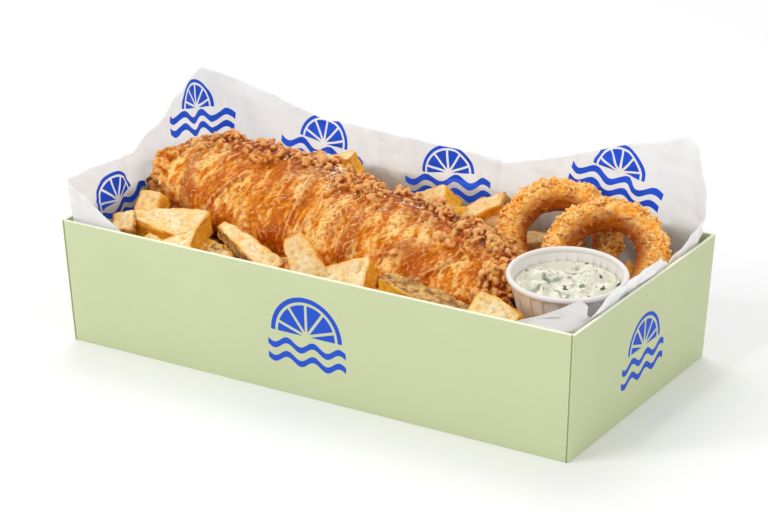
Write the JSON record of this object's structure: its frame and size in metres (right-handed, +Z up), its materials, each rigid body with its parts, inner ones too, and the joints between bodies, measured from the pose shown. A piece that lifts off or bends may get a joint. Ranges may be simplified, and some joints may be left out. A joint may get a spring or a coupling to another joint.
{
  "type": "battered fish, chips and squid rings in takeaway tray",
  "caption": "Open card tray lined with paper, holding a battered fish fillet, thick-cut chips, crumbed squid rings and a pot of tartare sauce.",
  "frame": {"origin": "middle of the underside of the tray's floor", "axes": "+X along the tray's length, +Y from its front wall to its back wall, +Z up"},
  "size_m": [0.3069, 0.1589, 0.117],
  "materials": {
    "green_card": "matte coated card",
    "greaseproof_paper": "crumpled greaseproof paper with blue print",
    "chip_potato": "fried potato, some skin on",
    "fish_batter": "crisp golden batter",
    "squid_crumb": "golden crumb",
    "pot_paper": "white pleated paper",
    "tartare": "glossy cream sauce with herbs"
  },
  "bodies": {
    "root": {"tray": "green_card", "paper_liner": "greaseproof_paper", "chips": "chip_potato", "battered_fish": "fish_batter", "squid_ring_front": "squid_crumb", "squid_ring_back": "squid_crumb", "sauce_pot": "pot_paper", "tartare_sauce": "tartare"}
  },
  "joints": []
}
